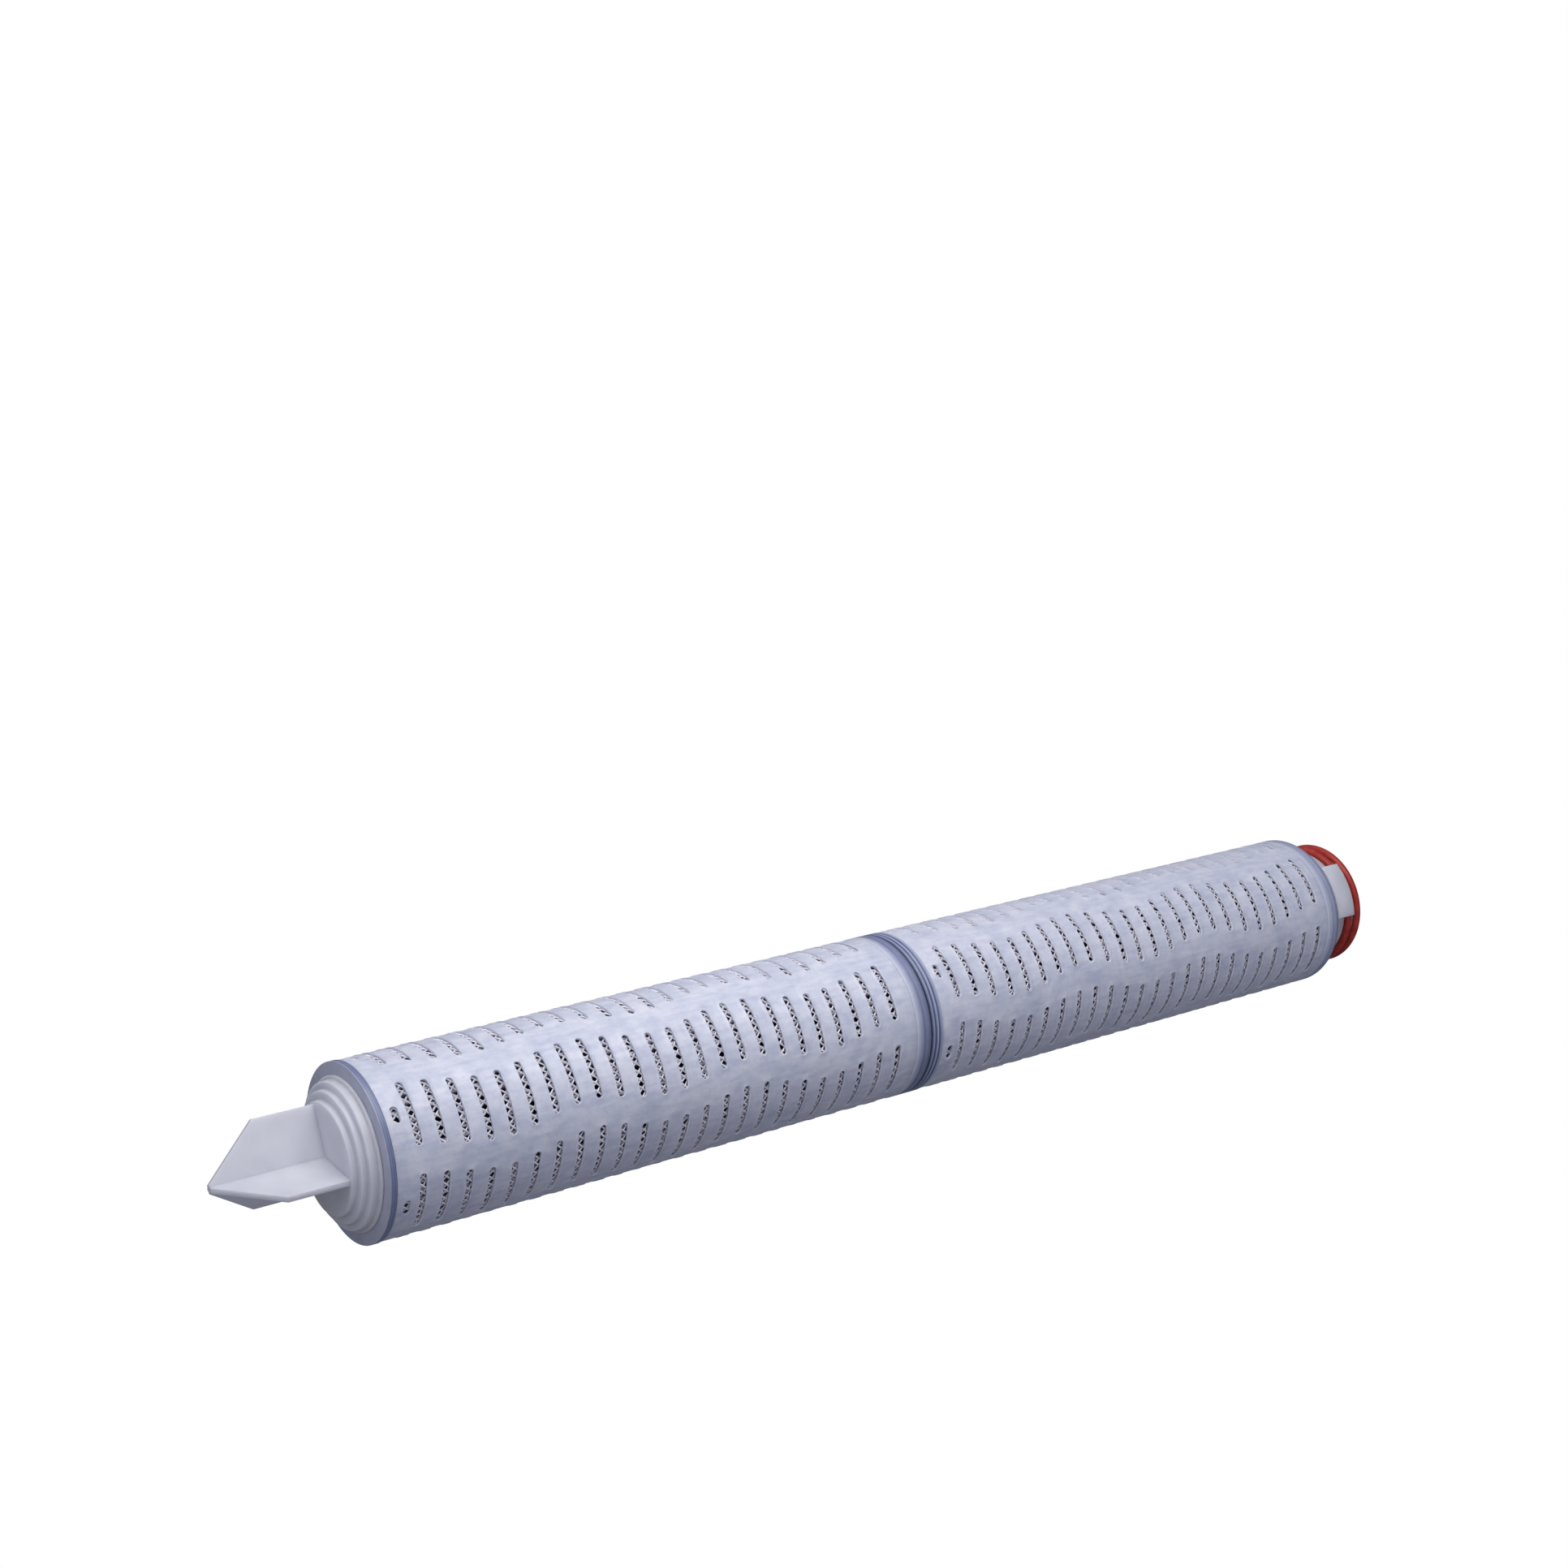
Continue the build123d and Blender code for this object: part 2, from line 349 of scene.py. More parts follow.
def fin_plastic():
    """Natural polypropylene in a thin moulding: light passes through the blades."""
    material, tree, shader = new_material("natural_polypropylene_clear")
    point = object_point(tree)
    mottle = spread(tree, noise(tree, point, 14 * MM, 2.0, 0.5), 0.3, 0.7)
    tree.links.new(two_colours(tree, mottle, "#D2D2DA", "#DDDDE4"), shader.inputs["Base Color"])
    grain = noise(tree, point, 0.8 * MM, 2.0)
    tree.links.new(bump(tree, grain, 0.04 * MM, 0.3), shader.inputs["Normal"])
    shader.inputs["Roughness"].default_value = 0.36
    shader.inputs["IOR"].default_value = 1.49
    shader.inputs["Transmission Weight"].default_value = 0.12
    shader.inputs["Subsurface Weight"].default_value = 0.85
    shader.inputs["Subsurface Radius"].default_value = (1.0, 1.0, 1.05)
    shader.inputs["Subsurface Scale"].default_value = 5.0 * MM
    return material


def core_plastic():
    """White polypropylene, injection moulded: even and slightly shiny."""
    material, tree, shader = new_material("white_polypropylene")
    point = object_point(tree)
    mottle = spread(tree, noise(tree, point, 8 * MM), 0.3, 0.7)
    tree.links.new(two_colours(tree, mottle, "#D3D4DA", "#E1E1E6"), shader.inputs["Base Color"])
    tree.links.new(bump(tree, noise(tree, point, 0.7 * MM), 0.04 * MM, 0.4), shader.inputs["Normal"])
    shader.inputs["Roughness"].default_value = 0.45
    return material


def spunbond():
    """Spunbonded polypropylene sheet: white, matt, with a dimpled bond pattern."""
    material, tree, shader = new_material("spunbonded_polypropylene")
    point = object_point(tree)
    fibres = noise(tree, point, 0.8 * MM, 6.0, 0.7)
    tree.links.new(two_colours(tree, spread(tree, fibres, 0.3, 0.7), "#C9CAD0", "#E4E4E8"),
                   shader.inputs["Base Color"])
    tree.links.new(bump(tree, fibres, 0.15 * MM, 0.6), shader.inputs["Normal"])
    shader.inputs["Roughness"].default_value = 0.85
    return material


def carbon_web_and_valley_shade():
    """Carbon-loaded nonwoven between pale cover sheets: pale at the folds, darker between them, where the dark carbon
    web is joined by painted shade deepening into the valleys.
    """
    sizes = bpy.context.scene.cartridge_sizes
    material, tree, shader = new_material("carbon_loaded_nonwoven")
    point = object_point(tree)
    fibres = noise(tree, point, 1.2 * MM, 6.0, 0.7)
    inside = BODY_RADIUS - CAGE_WALL
    # Painted shade: the colour darkens with depth into the pleat valleys, from the pale cover to the dark carbon web.
    fold_and_painted_valley_shade = spread(tree, distance_from_axis(tree, point), inside - sizes.pleat_painted_shade_depth, inside - 0.4 * MM)
    web = two_colours(tree, spread(tree, fibres, 0.35, 0.7), "#5A4F54", "#8C8389")
    cover = linear("#CFCBD6")
    shown = add_node(tree, "ShaderNodeMix", {"data_type": "RGBA"}, i0=fold_and_painted_valley_shade, i6=web, i7=cover).outputs[2]
    tree.links.new(shown, shader.inputs["Base Color"])
    tree.links.new(bump(tree, fibres, 0.2 * MM, 0.7), shader.inputs["Normal"])
    shader.inputs["Roughness"].default_value = 0.9
    return material


def net_plastic():
    """Extruded polypropylene net: pale, slightly shiny strands."""
    material, tree, shader = new_material("extruded_net")
    point = object_point(tree)
    tone = spread(tree, noise(tree, point, 3 * MM, 3.0), 0.3, 0.7)
    tree.links.new(two_colours(tree, tone, "#CAC8D4", "#ECEBF0"), shader.inputs["Base Color"])
    shader.inputs["Roughness"].default_value = 0.5
    return material


def red_silicone():
    """Silicone, compression moulded: deep red with a satin gloss."""
    material, tree, shader = new_material("red_silicone")
    point = object_point(tree)
    tone = spread(tree, noise(tree, point, 4 * MM, 3.0), 0.3, 0.7)
    tree.links.new(two_colours(tree, tone, "#9A2620", "#B53A2C"), shader.inputs["Base Color"])
    tree.links.new(bump(tree, noise(tree, point, 0.5 * MM), 0.03 * MM, 0.4), shader.inputs["Normal"])
    shader.inputs["Roughness"].default_value = 0.34
    shader.inputs["IOR"].default_value = 1.43
    return material


made = {}


def material_of(make):
    """Each finish is made once."""
    if make.__name__ not in made:
        made[make.__name__] = make()
    return made[make.__name__]


# Settings that a user would change


class CartridgeSizes(bpy.types.PropertyGroup):
    slot_columns: IntProperty(name="Slot columns", description="Columns of slots round a cage", default=6)
    slot_rows: IntProperty(name="Slot rows", description="Rows of slots along a cage", default=24)
    slot_arc: FloatProperty(name="Slot arc", description="Angle that a slot spans, in degrees", default=42.5)
    short_slot_arc: FloatProperty(name="Short slot arc", description="Angle of the short slots, in degrees",
                                  default=11.0)
    slot_height: FloatProperty(name="Slot height", description="Height of a slot", default=3 * MM,
                               unit="LENGTH")
    slot_pitch: FloatProperty(name="Slot pitch", description="Distance from row to row", default=9.5 * MM,
                              unit="LENGTH")
    first_row: FloatProperty(name="First row", description="Depth of the first row below a cage's top",
                             default=10.5 * MM, unit="LENGTH")
    short_row: FloatProperty(name="Short row", description="Depth of the short slots below a cage's top",
                             default=4.3 * MM, unit="LENGTH")
    wave_swing: FloatProperty(name="Wave swing", description="Sideways swing of a slot column, in degrees",
                              default=4.5)
    wave_length: FloatProperty(name="Wave length", description="Length of the columns' wave",
                               default=74.5 * MM, unit="LENGTH")
    wave_crest: FloatProperty(name="Wave crest", description="Depth of the wave's first crest",
                              default=44.3 * MM, unit="LENGTH")
    upper_angle: FloatProperty(name="Upper cage angle", description="Angle of the upper cage's first column",
                               default=-66.0)
    lower_angle: FloatProperty(name="Lower cage angle", description="Angle of the lower cage's first column",
                               default=-61.5)
    pleats: IntProperty(name="Pleats", description="Pleats round the pack", default=60)
    net_strands: IntProperty(name="Net strands", description="Strands of the net that lean one way",
                             default=64)
    net_lean: FloatProperty(name="Net lean", description="Angle of a strand to the level, in degrees",
                            default=50.0)
    net_thickness: FloatProperty(name="Net thickness", description="Thickness of a strand",
                                 default=0.72 * MM, unit="LENGTH")
    net_swell: FloatProperty(name="Net swell", description="How far the net swells into a slot",
                             default=0.6 * MM, unit="LENGTH")
    # Depth over which the painted shade in the pleat valleys deepens.
    pleat_painted_shade_depth: FloatProperty(name="Pleat fade", description="Depth over which the web darkens",
                              default=2.2 * MM, unit="LENGTH")


class CartridgeStage(bpy.types.PropertyGroup):
    key_light: FloatProperty(name="Key light", description="Power of the large lamp", default=1.6)
    low_light: FloatProperty(name="Low light", description="Power of the lamp beside the open end", default=0.45)
    fill: FloatProperty(name="Fill", description="Strength of the light from all round", default=0.47)
    slant: FloatProperty(name="Slant", description="How much more of the fill comes from the lamp's side",
                         default=0.52)


class CartridgeColours(bpy.types.PropertyGroup):
    floor: FloatVectorProperty(name="Floor", description="Colour of the floor", subtype="COLOR", size=3,
                               default=(0.35, 0.36, 0.40))


# The slotted cages


def slot_outline(width, height, corner, straight_parts=10, corner_parts=4):
    """Rounded outline of a slot, the right side first, counter-clockwise from below."""
    points = []
    for side, (x, y, start) in enumerate([(1, -1, -90), (1, 1, 0), (-1, 1, 90), (-1, -1, 180)]):
        centre_x = x * (width / 2 - corner)
        centre_y = y * (height / 2 - corner)
        for part in range(corner_parts + 1):
            angle = radians(start + 90 * part / corner_parts)
            points.append((centre_x + corner * cos(angle), centre_y + corner * sin(angle)))
        if side in (1, 3):
            for part in range(1, straight_parts):
                share = 1 - 2 * part / straight_parts
                points.append((centre_x * share, centre_y + corner * y))
    return points


def cell_outline(width, below, above, straight_end, straight_parts=10, corner_parts=4):
    """Outline of a slot's cell, with as many points as the slot's and at the same places in each row."""
    points = []
    middle = (straight_end + width / 2) / 2
    for side, (x, y) in enumerate([(1, -1), (1, 1), (-1, 1), (-1, -1)]):
        far = above if y > 0 else -below
        corner = [(straight_end, far), (middle, far), (width / 2, far), (width / 2, far * 0.5),
                  (width / 2, far * 0.12)]
        if side in (1, 3):
            corner.reverse()
        points += [(x * px, py) for px, py in corner]
        if side in (1, 3):
            for part in range(1, straight_parts):
                share = 1 - 2 * part / straight_parts
                points.append((x * straight_end * share, far))
    return points


def add_cell_row(name, columns, rows, pitch, radius, slot, below, above, straight_end, middle_height):
    """Flat rows of cells, each a slot in a panel, as wide as the wall is round."""
    width = 2 * pi * radius / columns
    slot_width, slot_height, corner = slot
    inner = slot_outline(slot_width, slot_height, corner)
    outer = cell_outline(width, below, above, straight_end)
    cell = add_loop(name, [(x, y + middle_height, LIP) for x, y in inner])
    make_active(cell)
    bpy.ops.object.mode_set(mode="EDIT")
    mesh = bmesh.from_edit_mesh(cell.data)
    for share, lip in ((0.03, LIP), (0.16, 0.0), (0.5, 0.0), (1.0, 0.0)):
        bpy.ops.mesh.extrude_edges_move()
        mesh = bmesh.from_edit_mesh(cell.data)
        moved = [vertex for vertex in mesh.verts if vertex.select]
        moved.sort(key=lambda vertex: vertex.index)
        for vertex, (ax, ay), (bx, by) in zip(moved, inner, outer):
            vertex.co.x = ax + (bx - ax) * share
            vertex.co.y = ay + (by - ay) * share + middle_height
            vertex.co.z = lip
        bmesh.update_edit_mesh(cell.data)
    bpy.ops.object.mode_set(mode="OBJECT")
    merge_and_face_out(cell, 1e-7)
    apply_modifier(cell, "ARRAY", count=columns, use_relative_offset=False, use_constant_offset=True,
                   constant_offset_displace=(width, 0, 0), use_merge_vertices=True, merge_threshold=1e-6)
    if rows > 1:
        apply_modifier(cell, "ARRAY", count=rows, use_relative_offset=False, use_constant_offset=True,
                       constant_offset_displace=(0, -pitch, 0), use_merge_vertices=True, merge_threshold=1e-6)
    return cell


def stretch_end(piece, still, border, target):
    """Moves a border to its target height and spreads what lies between it and the still height."""

    def stretch(points):
        share = np.clip((points[:, 1] - still) / (border - still), 0, 1)
        points[:, 1] += share * (target - border)
        return points

    move_vertices(piece, stretch)


def slotted_cage(name, column_angle):
    """A cage: flat rows of slots, swung into the columns' wave, wrapped round and given its wall."""
    sizes = bpy.context.scene.cartridge_sizes
    bottom, top = node_span(name)
    depth_of_rows = [sizes.first_row + row * sizes.slot_pitch for row in range(sizes.slot_rows)]
    slot_width = radians(sizes.slot_arc) * BODY_RADIUS
    short_width = radians(sizes.short_slot_arc) * BODY_RADIUS
    corner = sizes.slot_height / 2
    straight_end = slot_width / 2 - corner
    half = sizes.slot_pitch / 2
    seam = (sizes.first_row + sizes.short_row) / 2
    short = add_cell_row(name + "_short", sizes.slot_columns, 1, 0, BODY_RADIUS,
                         (short_width, sizes.slot_height, corner), seam - sizes.short_row,
                         sizes.short_row, straight_end, top - sizes.short_row)
    cage = add_cell_row(name + "_wall", sizes.slot_columns, sizes.slot_rows, sizes.slot_pitch, BODY_RADIUS,
                        (slot_width, sizes.slot_height, corner), half, half, straight_end,
                        top - sizes.first_row)
    first_slot_top = top - sizes.first_row + sizes.slot_height / 2
    last_slot_bottom = top - depth_of_rows[-1] - sizes.slot_height / 2
    stretch_end(cage, first_slot_top, top - sizes.first_row + half, top - seam)
    stretch_end(cage, last_slot_bottom, top - depth_of_rows[-1] - half, bottom)
    make_active(cage)
    short.select_set(True)
    bpy.ops.object.join()

    depths = [sizes.short_row] + depth_of_rows
    wave = [-radians(sizes.wave_swing) * cos(2 * pi * (depth - sizes.wave_crest) / sizes.wave_length)
            for depth in depths]
    half_still = sizes.slot_height * 0.75
    stations = np.array([depth + side * half_still for depth in depths for side in (-1, 1)])
    swings = np.array([swing for swing in wave for side in (-1, 1)])

    def wrap(points):
        angle = points[:, 0] / BODY_RADIUS + radians(column_angle) + np.interp(top - points[:, 1], stations, swings)
        radius = BODY_RADIUS - LIP + points[:, 2]
        return np.column_stack((radius * np.cos(angle), radius * np.sin(angle), points[:, 1]))

    move_vertices(cage, wrap)
    merge_and_face_out(cage, 2e-6)
    face_away_from_axis(cage)
    apply_modifier(cage, "SOLIDIFY", thickness=CAGE_WALL - LIP, offset=-1.0)
    round_edges(cage, 0.25 * MM, 2, 55)
    smooth(cage)
    cage.data.name = cage.name
    return finish_piece(cage, material_of(cage_plastic), [name])


class CARTRIDGE_OT_cages(bpy.types.Operator):
    """Build the two slotted cages"""
    bl_idname = "cartridge.cages"
    bl_label = "Slotted cages"

    def execute(self, context):
        sizes = context.scene.cartridge_sizes
        slotted_cage("upper_cage", sizes.upper_angle)
        slotted_cage("lower_cage", sizes.lower_angle)
        return {"FINISHED"}


# The pleated packs with their nets


def pleated_pack(name):
    """Pleats as a wavy wall with rounded tips, closed by an inner wall and ring ends."""
    sizes = bpy.context.scene.cartridge_sizes
    bottom, top = node_span(name)
    low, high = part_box(name)
    tip_radius = high.x - 0.02 * MM
    inner_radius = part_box(name.replace("media", "inner_support"))[1].x + 0.1 * MM
    root_radius = inner_radius + 1.0 * MM
    half_tip = 0.72 * MM / tip_radius
    dice = np.random.default_rng(7)
    outline = []
    for pleat in range(sizes.pleats):
        middle = 2 * pi * (pleat + 0.16 * dice.uniform(-1, 1)) / sizes.pleats
        crown = tip_radius - 0.25 * MM * dice.random()
        for share, sink in ((-1.0, 0.9), (-0.8, 0.35), (-0.4, 0.07), (0.0, 0.0), (0.4, 0.07), (0.8, 0.35), (1.0, 0.9)):
            angle = middle + share * half_tip
            radius = crown - sink * MM
            outline.append((radius * cos(angle), radius * sin(angle)))
        valley = 2 * pi * (pleat + 0.5) / sizes.pleats
        outline.append((root_radius * cos(valley), root_radius * sin(valley)))
    count = len(outline)
    skin = add_loop(name + "_pleats", [(x, y, bottom) for x, y in outline])
    ring = [(inner_radius * cos(atan2(y, x)), inner_radius * sin(atan2(y, x)), bottom) for x, y in outline]
    lining = add_loop(name + "_lining", ring)
    make_active(skin)
    lining.select_set(True)
    bpy.ops.object.join()
    make_active(skin)
    bpy.ops.object.mode_set(mode="EDIT")
    bpy.ops.mesh.select_all(action="SELECT")
    bpy.ops.mesh.extrude_edges_move(TRANSFORM_OT_translate={"value": (0, 0, top - bottom)})
    bpy.ops.object.mode_set(mode="OBJECT")
    mesh = bmesh.new()
    mesh.from_mesh(skin.data)
    mesh.verts.ensure_lookup_table()
    for height in (bottom, top):
        level = [vertex for vertex in mesh.verts if abs(vertex.co.z - height) < 1e-6]
        level.sort(key=lambda vertex: vertex.index)
        outer, inner = level[:count], level[count:]
        for step in range(count):
            after = (step + 1) % count
            mesh.faces.new((outer[step], outer[after], inner[after], inner[step]))
    bmesh.ops.recalc_face_normals(mesh, faces=mesh.faces)
    mesh.to_mesh(skin.data)
    mesh.free()
    smooth(skin, 50)
    return finish_piece(skin, material_of(carbon_web_and_valley_shade), [name])


def drainage_net(name, media, cage):
    """Two sets of strands that cross round the pleats' tips and swell a little into the slots."""
    sizes = bpy.context.scene.cartridge_sizes
    bottom, top = node_span(media)
    cage_top = node_span(cage)[1]
    low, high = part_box(media)
    thickness = sizes.net_thickness
    radius = high.x + 0.2 * MM
    lean = radians(sizes.net_lean)
    section = [(0.5, 0.0), (0.0, 0.5), (-0.5, 0.0), (0.0, -0.5)]
    rows = [sizes.short_row] + [sizes.first_row + row * sizes.slot_pitch for row in range(sizes.slot_rows)]
    across = [(-0.55, 0.0), (-0.2, 1.0), (0.2, 1.0), (0.55, 0.0)]
    stations = [(cage_top - depth + share * sizes.slot_height, swell) for depth in rows for share, swell in across]
    stations = sorted(station for station in stations if bottom < station[0] < top)
    stations = [(bottom, 0.0)] + stations + [(top, 0.0)]
    vertices, faces = [], []
    dice = np.random.default_rng(11)
    for way, depth in ((1, 0.0), (-1, -0.45 * thickness)):
        for strand in range(sizes.net_strands):
            start = 2 * pi * (strand + 0.16 * dice.uniform(-1, 1)) / sizes.net_strands
            base = len(vertices)
            for height, swell in stations:
                middle = radius + depth + swell * sizes.net_swell
                angle = start + way * (height - bottom) / (radius * tan(lean))
                for out, along in section:
                    reach = middle + out * thickness
                    turn = angle + along * thickness / (radius * sin(lean))
                    vertices.append((reach * cos(turn), reach * sin(turn), height))
            for step in range(len(stations) - 1):
                for corner in range(4):
                    a = base + step * 4 + corner
                    b = base + step * 4 + (corner + 1) % 4
                    faces.append((a, b, b + 4, a + 4))
            faces.append((base + 3, base + 2, base + 1, base))
            last = base + (len(stations) - 1) * 4
            faces.append((last, last + 1, last + 2, last + 3))
    mesh = bpy.data.meshes.new(name)
    mesh.from_pydata(vertices, [], faces)
    net = bpy.data.objects.new(name, mesh)
    bpy.context.scene.collection.objects.link(net)
    merge_and_face_out(net, 1e-7)
    smooth(net, 60)
    return finish_piece(net, material_of(net_plastic))


class CARTRIDGE_OT_media(bpy.types.Operator):
    """Build the pleated packs with their drainage nets"""
    bl_idname = "cartridge.media"
    bl_label = "Pleated media"

    def execute(self, context):
        for level in ("upper", "lower"):
            pleated_pack(level + "_media")
            drainage_net(level + "_net", level + "_media", level + "_cage")
        return {"FINISHED"}


# Cores, supports and caps


class CARTRIDGE_OT_cores(bpy.types.Operator):
    """Finish the windowed cores and the support sleeves"""
    bl_idname = "cartridge.cores"
    bl_label = "Cores and supports"

    def execute(self, context):
        for level in ("upper", "lower"):
            for part, make in (("core", core_plastic), ("inner_support", spunbond)):
                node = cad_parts[f"{level}_{part}"]
                node.data.materials.clear()
                node.data.materials.append(material_of(make))
        return {"FINISHED"}


def rim(low, high, bore, grooves=(), weld_low=False, weld_high=False):
    """Profile of a cap's rim, with grooves at heights round its side and a sunk edge at a weld."""
    outer = BODY_RADIUS
    sink = 0.7 * MM
    points = [(bore, low), (outer - (sink if weld_low else 0), low)]
    if weld_low:
        points.append((outer, low + sink))
    for height, depth, width in sorted(grooves):
        points += [(outer, height - width / 2), (outer - depth, height - width * 0.2),
                   (outer - depth, height + width * 0.2), (outer, height + width / 2)]
    if weld_high:
        points.append((outer, high - sink))
    points += [(outer - (sink if weld_high else 0), high), (bore, high)]
    return points


class CARTRIDGE_OT_caps(bpy.types.Operator):
    """Turn the end caps and the two welded joint caps"""
    bl_idname = "cartridge.caps"
    bl_label = "Caps"

    def execute(self, context):
        bore = 13.5 * MM
        boss = 2.5 * MM
        cage_low, cage_high = node_span("lower_cage")
        upper_low, upper_high = node_span("upper_cage")
        cap_low, cap_high = node_span("open_end_cap")
        joint = node_span("lower_joint_cap")[1]
        end_low, end_high = node_span("closed_end_cap")
        seat = BODY_RADIUS - CAGE_WALL - 0.1 * MM
        line = (0.4 * MM, 0.8 * MM)
        rounding = 2.0 * MM
        open_cap = rim(cap_low, cage_low, bore, [((cap_low + cage_low) / 2, *line)])
        quarter = [radians(90 * part / 6) for part in range(7)]
        open_cap[1:2] = [(BODY_RADIUS - rounding * (1 - sin(turn)), cap_low + rounding * (1 - cos(turn)))
                         for turn in quarter]
        open_cap[-1:] = [(seat, cage_low), (seat, cap_high), (bore, cap_high)]
        third = (joint - cage_high) / 3
        lower_joint = rim(cage_high, joint, bore, [(cage_high + third, *line), (joint - third, *line)],
                          weld_high=True)
        lower_joint[:1] = [(bore, cage_high - boss), (seat, cage_high - boss), (seat, cage_high)]
        upper_joint = rim(joint, upper_low, bore, [((joint + upper_low) / 2, *line)], weld_low=True)
        upper_joint[-1:] = [(seat, upper_low), (seat, upper_low + boss), (bore, upper_low + boss)]
        tiny = 0.2 * MM
        closed = [(tiny, end_low), (seat, end_low), (seat, upper_high), (BODY_RADIUS, upper_high),
                  (BODY_RADIUS, end_high), (tiny, end_high)]
        for name, profile, plastic in (("open_end_cap", open_cap, open_end_plastic),
                                       ("lower_joint_cap", lower_joint, joint_plastic),
                                       ("upper_joint_cap", upper_joint, joint_plastic),
                                       ("closed_end_cap", closed, closed_end_plastic)):
            cap = spin_profile(name + "_turned", profile)
            round_edges(cap, 0.22 * MM, 2, 30)
            smooth(cap)
            finish_piece(cap, material_of(plastic), [name])
        return {"FINISHED"}


# The locating fin


class CARTRIDGE_OT_fin(bpy.types.Operator):
    """Build the three-bladed locating fin on its stepped disc"""
    bl_idname = "cartridge.fin"
    bl_label = "Locating fin"

    def execute(self, context):
        base, tip = node_span("fin_adapter")
        tiny = 0.2 * MM
        steps = [(29.5, 1.4), (28.0, 4.4), (25.0, 6.6), (21.6, 9.0)]
        profile = [(tiny, base)]
        height = base
        for radius, top in steps:
            profile += [(radius * MM, height), (radius * MM, base + top * MM)]
            height = base + top * MM
        profile.append((tiny, height))
        disc = spin_profile("fin_adapter_moulded", profile)
        round_edges(disc, 0.6 * MM, 3, 35)
        outline = [(0.0, 6.6), (20.6, 6.6), (20.6, 33.0), (1.5, 53.8), (0.0, 53.8)]
        blades = []
        for turn in range(3):
            blade = add_loop("blade", [(x * MM, -1.2 * MM, base + z * MM) for x, z in outline])
            make_active(blade)
            bpy.ops.object.mode_set(mode="EDIT")
            bpy.ops.mesh.select_all(action="SELECT")
            bpy.ops.mesh.edge_face_add()
            bpy.ops.mesh.extrude_region_move(TRANSFORM_OT_translate={"value": (0, 2.4 * MM, 0)})
            bpy.ops.object.mode_set(mode="OBJECT")
            angle = radians(12.5 + 120 * turn)
            blade.data.transform(Matrix.Rotation(angle, 4, "Z"))
            merge_and_face_out(blade)
            blades.append(blade)
        join_solids(disc, blades)
        merge_and_face_out(disc, 2e-6)
        round_edges(disc, 0.35 * MM, 3, 50)
        smooth(disc)
        finish_piece(disc, material_of(fin_plastic), ["fin_adapter"])
        return {"FINISHED"}


# The bayonet spigot and its rings


class CARTRIDGE_OT_adapter(bpy.types.Operator):
    """Build the bayonet spigot with its lugs"""
    bl_idname = "cartridge.adapter"
    bl_label = "Bayonet adapter"

    def execute(self, context):
        base, top = node_span("bayonet_adapter")
        bore, passage = 17.0 * MM, 13.5 * MM
        groove = 25.3 * MM
        spigot = 26.3 * MM
        half_groove = 2.1 * MM
        collar = 30.5 * MM
        profile = [(bore, base), (20.5 * MM, base), (spigot, base + 4.0 * MM)]
        for middle in (top - 20.6 * MM, top - 14.6 * MM):
            profile += [(spigot, middle - half_groove), (groove, middle - half_groove),
                        (groove, middle + half_groove), (spigot, middle + half_groove)]
        profile += [(spigot, top - 2.0 * MM), (collar, top - 2.0 * MM), (collar, top), (passage, top),
                    (passage, base + 22 * MM), (bore, base + 22 * MM)]
        adapter = spin_profile("bayonet_adapter_moulded", profile)
        lugs = []
        for lug in range(2):
            middle = radians(-72.5 + 180 * lug)
            arc = radians(46)
            turns = [middle - arc / 2 + arc * part / 16 for part in range(17)]
            outline = [(33.0 * MM * cos(turn), 33.0 * MM * sin(turn), top - 12 * MM) for turn in turns]
            outline += [(25.5 * MM * cos(turn), 25.5 * MM * sin(turn), top - 12 * MM) for turn in reversed(turns)]
            piece = add_loop("lug", outline)
            make_active(piece)
            bpy.ops.object.mode_set(mode="EDIT")
            bpy.ops.mesh.select_all(action="SELECT")
            bpy.ops.mesh.edge_face_add()
            bpy.ops.mesh.extrude_region_move(TRANSFORM_OT_translate={"value": (0, 0, 11 * MM)})
            bpy.ops.object.mode_set(mode="OBJECT")
            merge_and_face_out(piece)
            lugs.append(piece)
        join_solids(adapter, lugs)
        merge_and_face_out(adapter, 2e-6)
        round_edges(adapter, 0.35 * MM, 2, 40)
        smooth(adapter)
        finish_piece(adapter, material_of(fin_plastic), ["bayonet_adapter"])
        return {"FINISHED"}


class CARTRIDGE_OT_rings(bpy.types.Operator):
    """Build the two silicone seal rings"""
    bl_idname = "cartridge.rings"
    bl_label = "Seal rings"

    def execute(self, context):
        for name in ("upper_o_ring", "lower_o_ring"):
            low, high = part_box(name)
            deselect()
            section = 3.53 * MM / 2
            bpy.ops.mesh.primitive_torus_add(major_segments=160, minor_segments=20,
                                             major_radius=high.x - section, minor_radius=section,
                                             location=(0, 0, (low.z + high.z) / 2))
            ring = bpy.context.object
            ring.name = name + "_moulded"
            bpy.ops.object.transform_apply(location=True, rotation=True, scale=True)

            def flash(points):
                """A fine parting line stands proud along the ring's outer edge."""
                reach = np.hypot(points[:, 0], points[:, 1])
                proud = np.where(reach > reach.max() - 0.01 * MM, 0.06 * MM, 0.0)
                scale = (reach + proud) / reach
                return np.column_stack((points[:, 0] * scale, points[:, 1] * scale, points[:, 2]))

            move_vertices(ring, flash)
            smooth(ring, 60)
            finish_piece(ring, material_of(red_silicone), [name])
        return {"FINISHED"}


# The stage


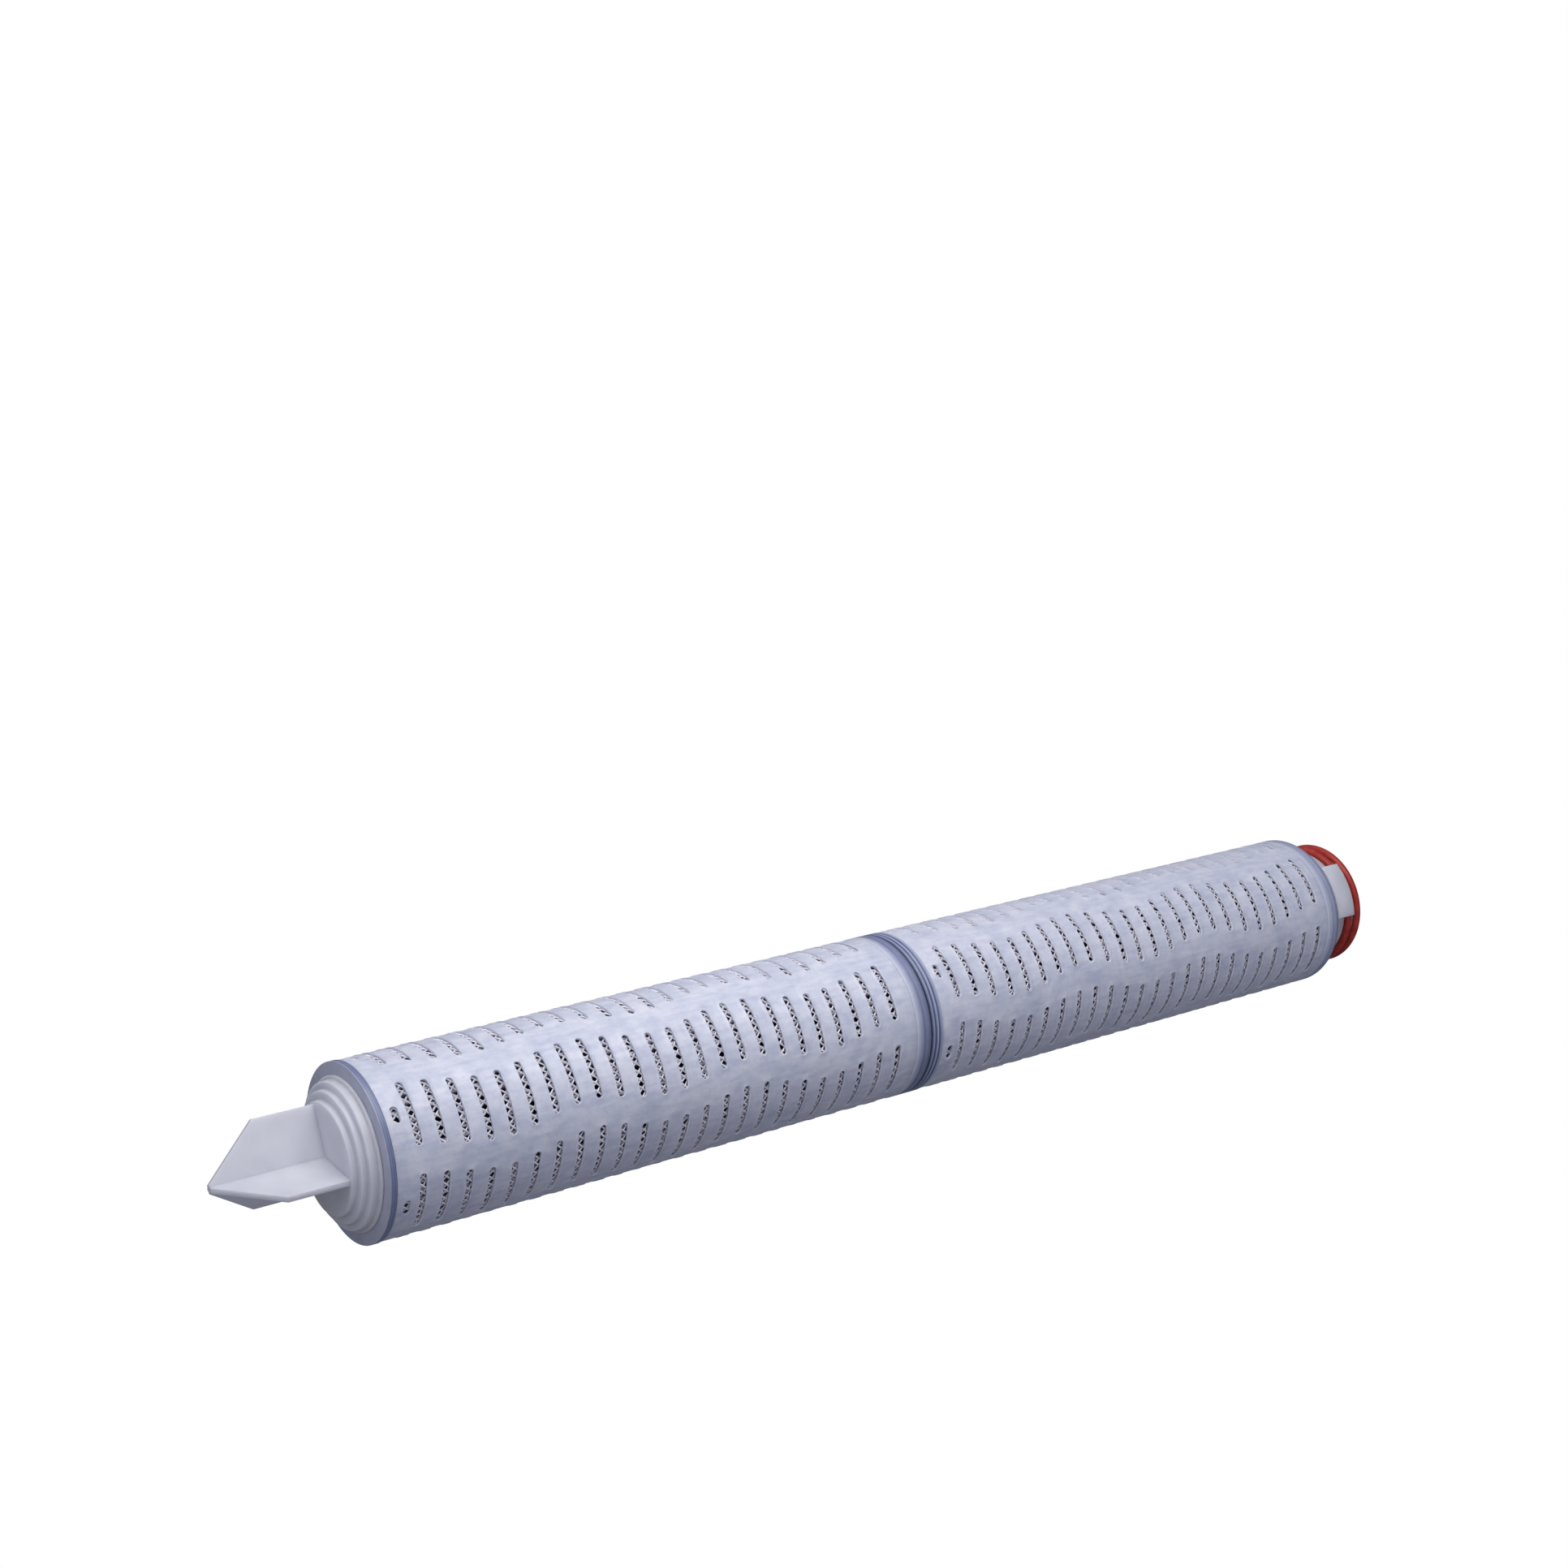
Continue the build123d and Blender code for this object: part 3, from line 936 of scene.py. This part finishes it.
def white_to_camera(tree, plain):
    """Mixes a plain shader with flat white for what the camera and clear plastic see."""
    path = add_node(tree, "ShaderNodeLightPath")
    seen = math(tree, "MAXIMUM", path.outputs["Is Camera Ray"], path.outputs["Is Transmission Ray"])
    white = add_node(tree, "ShaderNodeBackground" if plain.type == "BACKGROUND" else "ShaderNodeEmission",
                     Color=(1, 1, 1, 1), Strength=1.0)
    return add_node(tree, "ShaderNodeMixShader", i0=seen, i1=plain.outputs[0], i2=white.outputs[0])


class CARTRIDGE_OT_stage(bpy.types.Operator):
    """Set the floor, the lamps, the world and the camera"""
    bl_idname = "cartridge.stage"
    bl_label = "Stage"

    def execute(self, context):
        scene = context.scene
        stage = scene.cartridge_stage
        deselect()
        bpy.ops.mesh.primitive_plane_add(size=8, location=(0, 0, 0))
        floor = bpy.context.object
        floor.name = "floor"
        material = bpy.data.materials.new("pale_floor")
        material.use_nodes = True
        tree = material.node_tree
        tree.nodes.clear()
        plain = add_node(tree, "ShaderNodeBsdfDiffuse", Color=(*scene.cartridge_colours.floor, 1))
        mixed = white_to_camera(tree, plain)
        add_node(tree, "ShaderNodeOutputMaterial", Surface=mixed.outputs[0])
        floor.data.materials.append(material)

        world = bpy.data.worlds.new("white_surround")
        scene.world = world
        world.use_nodes = True
        tree = world.node_tree
        tree.nodes.clear()
        lamp_side = (cos(radians(-40)), sin(radians(-40)), 0.0)
        way = add_node(tree, "ShaderNodeTexCoord").outputs["Generated"]
        toward = add_node(tree, "ShaderNodeVectorMath", {"operation": "DOT_PRODUCT"}, i0=way,
                          i1=lamp_side).outputs["Value"]
        strength = math(tree, "MAXIMUM", math(tree, "ADD", math(tree, "MULTIPLY", toward, stage.slant), stage.fill))
        plain = add_node(tree, "ShaderNodeBackground", Color=(0.84, 0.87, 1.0, 1), Strength=strength)
        mixed = white_to_camera(tree, plain)
        add_node(tree, "ShaderNodeOutputWorld", Surface=mixed.outputs[0])

        for name, place, size, power, tint in (
            ("key", (0.42, -0.20, 0.40), 0.4, stage.key_light, (1.0, 0.99, 0.97)),
            ("low", (0.45, -0.40, 0.08), 0.25, stage.low_light, (1.0, 0.98, 0.97)),
        ):
            lamp = bpy.data.lights.new(name, "AREA")
            lamp.energy = power
            lamp.size = size
            lamp.color = tint
            holder = bpy.data.objects.new(name, lamp)
            scene.collection.objects.link(holder)
            holder.location = place
            aim = Vector((0, 0, place[2]))
            holder.rotation_euler = (aim - Vector(place)).to_track_quat("-Z", "Y").to_euler()
            holder.visible_camera = False

        camera = bpy.data.cameras.new("camera")
        camera.lens = 55.74
        camera.sensor_width = 36.0
        holder = bpy.data.objects.new("camera", camera)
        scene.collection.objects.link(holder)
        right = Vector((-0.12170, -0.57861, -0.80647))
        up = Vector((0.98881, 0.0, -0.14921))
        back = Vector((0.08634, -0.81560, 0.57213))
        turn = Matrix((right, up, back)).transposed().to_4x4()
        holder.matrix_world = Matrix.Translation((0.1915, -0.8194, 0.8872)) @ turn
        scene.camera = holder
        scene.view_settings.view_transform = "Standard"
        return {"FINISHED"}


class CARTRIDGE_PT_panel(bpy.types.Panel):
    """Lists the cartridge's pieces and settings"""
    bl_label = "Filter cartridge"
    bl_space_type = "VIEW_3D"
    bl_region_type = "UI"
    bl_category = "Cartridge"

    def draw(self, context):
        for group in (context.scene.cartridge_sizes, context.scene.cartridge_colours,
                      context.scene.cartridge_stage):
            for name in group.__annotations__:
                self.layout.prop(group, name)
        for operator in OPERATORS:
            self.layout.operator(operator.bl_idname)


OPERATORS = (
    CARTRIDGE_OT_stage,
    CARTRIDGE_OT_cages,
    CARTRIDGE_OT_media,
    CARTRIDGE_OT_cores,
    CARTRIDGE_OT_caps,
    CARTRIDGE_OT_fin,
    CARTRIDGE_OT_adapter,
    CARTRIDGE_OT_rings,
)
GROUPS = (CartridgeSizes, CartridgeStage, CartridgeColours)


def register():
    for kind in (*GROUPS, *OPERATORS, CARTRIDGE_PT_panel):
        bpy.utils.register_class(kind)
    bpy.types.Scene.cartridge_sizes = PointerProperty(type=CartridgeSizes)
    bpy.types.Scene.cartridge_stage = PointerProperty(type=CartridgeStage)
    bpy.types.Scene.cartridge_colours = PointerProperty(type=CartridgeColours)


def unregister():
    del bpy.types.Scene.cartridge_colours
    del bpy.types.Scene.cartridge_stage
    del bpy.types.Scene.cartridge_sizes
    for kind in reversed((*GROUPS, *OPERATORS, CARTRIDGE_PT_panel)):
        bpy.utils.unregister_class(kind)


def main():
    register()
    for operator in OPERATORS:
        group, name = operator.bl_idname.split(".")
        getattr(getattr(bpy.ops, group), name)()


if __name__ == "__main__":
    main()
